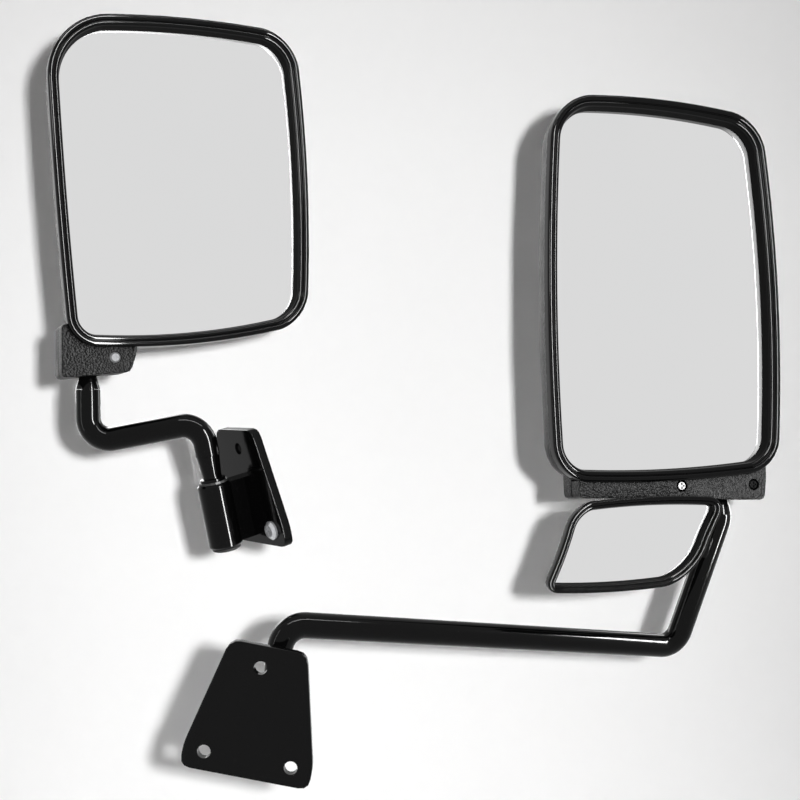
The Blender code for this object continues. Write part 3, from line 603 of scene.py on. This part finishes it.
def small_pieces():
    """The screws, and what carries the spot mirror."""
    passenger_screws = ("passenger_foot_screw_1", "passenger_foot_screw_2")
    for node in (*passenger_screws, "driver_bracket_screw", "driver_foot_screw"):
        smoothed(node, 30.0)
    for node in ("passenger_spot_lug", "passenger_spot_ball_stud", "passenger_spot_stud_nut"):
        smoothed(node, 35.0)


def inner_pieces():
    """The pieces out of sight keep their solids and get their own finish."""
    for node, piece in frame["nodes"].items():
        for place in piece.material_slots:
            place.link = "OBJECT"
            place.material = SLOT_LOOKS[NODE_SLOT[node]]


def white_paper():
    """The paper behind the mirrors: white, with the faintest tooth."""
    look = Finish("white_paper", specular=0.1)
    tooth = look.noise(60.0, 5.0)
    colour = look.blend(tooth, (0.93, 0.93, 0.93), (0.95, 0.95, 0.95))
    material = look.feed(colour=colour)
    look.shader.inputs["Roughness"].default_value = 0.9
    # From behind, the sheet lets the view through to the mirrors.
    behind = look.add("ShaderNodeNewGeometry", {}, {}, "Backfacing")
    clear = look.add("ShaderNodeBsdfTransparent", {}, {})
    front = Wire(look, look.shader.outputs["BSDF"])
    either = look.add("ShaderNodeMixShader", {}, {"Fac": behind, 1: front, 2: clear})
    look.tree.links.new(either.socket, look.output.inputs["Surface"])
    return material


def stage():
    """One sheet of paper: a floor that turns up into a wall behind the folding arms."""
    bpy.ops.object.select_all(action="DESELECT")
    bpy.ops.mesh.primitive_plane_add(size=1.0)
    sheet = bpy.context.object
    sheet.name = "paper_sweep"
    bpy.ops.object.mode_set(mode="EDIT")
    bpy.ops.mesh.select_all(action="SELECT")
    bpy.ops.transform.resize(value=(PAPER_WIDTH, PAPER_DEPTH, 1.0))
    bpy.ops.transform.translate(value=(VIEW_MIDDLE.x, PAPER_BACK - PAPER_DEPTH / 2, PAPER_FLOOR))
    bpy.ops.mesh.select_all(action="DESELECT")
    bpy.ops.object.mode_set(mode="OBJECT")
    for vert in sheet.data.vertices:
        vert.select = vert.co.y > PAPER_BACK / 2
    for edge in sheet.data.edges:
        edge.select = all(sheet.data.vertices[v].select for v in edge.vertices)
    bpy.ops.object.mode_set(mode="EDIT")
    bpy.ops.mesh.extrude_edges_move(TRANSFORM_OT_translate={"value": (0.0, 0.0, PAPER_HEIGHT)})
    bpy.ops.object.mode_set(mode="OBJECT")
    sheet.data.materials.append(white_paper())
    sheet.visible_glossy = False
    sheet.visible_shadow = False
    return sheet


def lamp(name, at, aim, size, radiance, glossy=True, diffuse=True):
    """A soft box whose face has the given brightness."""
    data = bpy.data.lights.new(name, "AREA")
    data.shape = "RECTANGLE"
    data.size, data.size_y = size
    data.energy = radiance * math.pi * size[0] * size[1]
    light = bpy.data.objects.new(name, data)
    light.location = at
    light.rotation_euler = (Vector(aim) - Vector(at)).to_track_quat("-Z", "Y").to_euler()
    light.visible_camera = False
    light.visible_glossy = glossy
    light.visible_diffuse = diffuse
    bpy.context.scene.collection.objects.link(light)
    return light


def around(azimuth, height, distance):
    """A point seen from the middle of the mirrors; azimuth counts to the camera's right."""
    turn = math.radians(azimuth)
    rise = math.radians(height)
    flat = distance * math.cos(rise)
    away = Vector((flat * math.sin(turn), -flat * math.cos(turn), distance * math.sin(rise)))
    return VIEW_MIDDLE + away


def lit_by(light, pieces, state):
    """Keeps a light to some pieces, or off them."""
    group = bpy.data.collections.new(light.name + "_group")
    for piece in pieces:
        group.objects.link(piece)
    for member in group.collection_objects:
        member.light_linking.link_state = state
    light.light_linking.receiver_collection = group


def lights(sheet):
    """A flash for the paper's shadows, and strips that draw lines on the gloss."""
    flash = VIEW_MIDDLE + Vector(FLASH_AT)
    aim = VIEW_MIDDLE + Vector(FLASH_AIM)
    near = lamp("flash", flash, aim, FLASH_SIZE, FLASH_RADIANCE, glossy=False)
    lit_by(near, [sheet], "EXCLUDE")
    far = lamp("paper_flash", flash, aim, FLASH_SIZE, PAPER_FLASH_RADIANCE, glossy=False)
    lit_by(far, [sheet], "INCLUDE")
    fill = lamp("paper_fill", around(-35, 30, 2.5), VIEW_MIDDLE, (1.5, 1.5), PAPER_FILL, glossy=False)
    lit_by(fill, [sheet], "INCLUDE")
    silvered = [NEW["driver_glass"], NEW["passenger_glass"], NEW["passenger_spot_glass"]]
    silvered += [NEW["driver_bracket_screw"], NEW["driver_foot_screw"]]
    rims = [NEW["driver_rim"], NEW["passenger_rim"], NEW["passenger_spot_rim"]]
    long_arm = [NEW["passenger_arm_tube"], NEW["passenger_spot_lug"]]
    not_front = silvered + rims + long_arm
    # Each strip's azimuth, height, distance, size and brightness, and the pieces it lights or leaves.
    strips = (
        ("rim_strip", 24, 4, 1.5, (0.18, 1.7), 130.0, rims, "INCLUDE"),
        ("front_strip", 46, 4, 1.5, (0.18, 1.7), 125.0, not_front, "EXCLUDE"),
        ("long_arm_strip", 67, 6, 1.8, (0.16, 1.8), 180.0, long_arm, "INCLUDE"),
        ("left_strip", -62, 8, 1.8, (0.08, 1.6), 12.0, silvered, "EXCLUDE"),
        ("top_strip", 8, 62, 1.6, (1.8, 0.10), 35.0, silvered, "EXCLUDE"),
        ("high_window", -34, 22, 1.5, (0.14, 0.2), 45.0, rims[:2], "INCLUDE"),
        ("back_strip_left", -150, 24, 1.6, (0.5, 1.4), 6.0, silvered + rims, "EXCLUDE"),
        ("back_strip_right", 142, 12, 1.6, (0.35, 1.4), 8.0, silvered + rims, "EXCLUDE"),
    )
    for name, azimuth, height, distance, size, radiance, pieces, state in strips:
        at = around(azimuth, height, distance)
        strip = lamp(name, at, VIEW_MIDDLE, size, radiance, diffuse=False)
        lit_by(strip, pieces, state)


def room():
    """A room that is white to the camera and in gloss and glass, and gives little light."""
    world = bpy.data.worlds.new("room")
    bpy.context.scene.world = world
    world.use_nodes = True
    nodes = world.node_tree.nodes
    links = world.node_tree.links
    dim = nodes["Background"]
    dim.inputs["Color"].default_value = ROOM_TINT
    dim.inputs["Strength"].default_value = ROOM_LIGHT
    white = nodes.new("ShaderNodeBackground")
    white.inputs["Color"].default_value = (1.0, 1.0, 1.0, 1.0)
    white.inputs["Strength"].default_value = ROOM_WHITE
    path = nodes.new("ShaderNodeLightPath")
    seen = nodes.new("ShaderNodeMixShader")
    mirrored = nodes.new("ShaderNodeMath")
    mirrored.operation = "MAXIMUM"
    links.new(path.outputs["Is Glossy Ray"], mirrored.inputs[0])
    links.new(path.outputs["Is Transmission Ray"], mirrored.inputs[1])
    either = nodes.new("ShaderNodeMath")
    either.operation = "MAXIMUM"
    links.new(path.outputs["Is Camera Ray"], either.inputs[0])
    links.new(mirrored.outputs["Value"], either.inputs[1])
    links.new(either.outputs["Value"], seen.inputs["Fac"])
    links.new(dim.outputs["Background"], seen.inputs[1])
    links.new(white.outputs["Background"], seen.inputs[2])
    links.new(seen.outputs["Shader"], nodes["World Output"].inputs["Surface"])


def camera():
    """Square to the picture, as far off as the photograph's perspective shows."""
    data = bpy.data.cameras.new("photo_camera")
    data.sensor_width = SENSOR_WIDTH
    data.lens = SENSOR_WIDTH * CAMERA_BACK / FRAME_WIDTH
    data.clip_start = 0.05
    seer = bpy.data.objects.new("photo_camera", data)
    seer.location = VIEW_MIDDLE - Vector((0.0, CAMERA_BACK, 0.0))
    seer.rotation_euler = (math.radians(90.0), 0.0, 0.0)
    bpy.context.scene.collection.objects.link(seer)
    bpy.context.scene.camera = seer


heads()
arms()
small_pieces()
inner_pieces()
lights(stage())
room()
camera()
bpy.context.scene.view_settings.view_transform = "Standard"
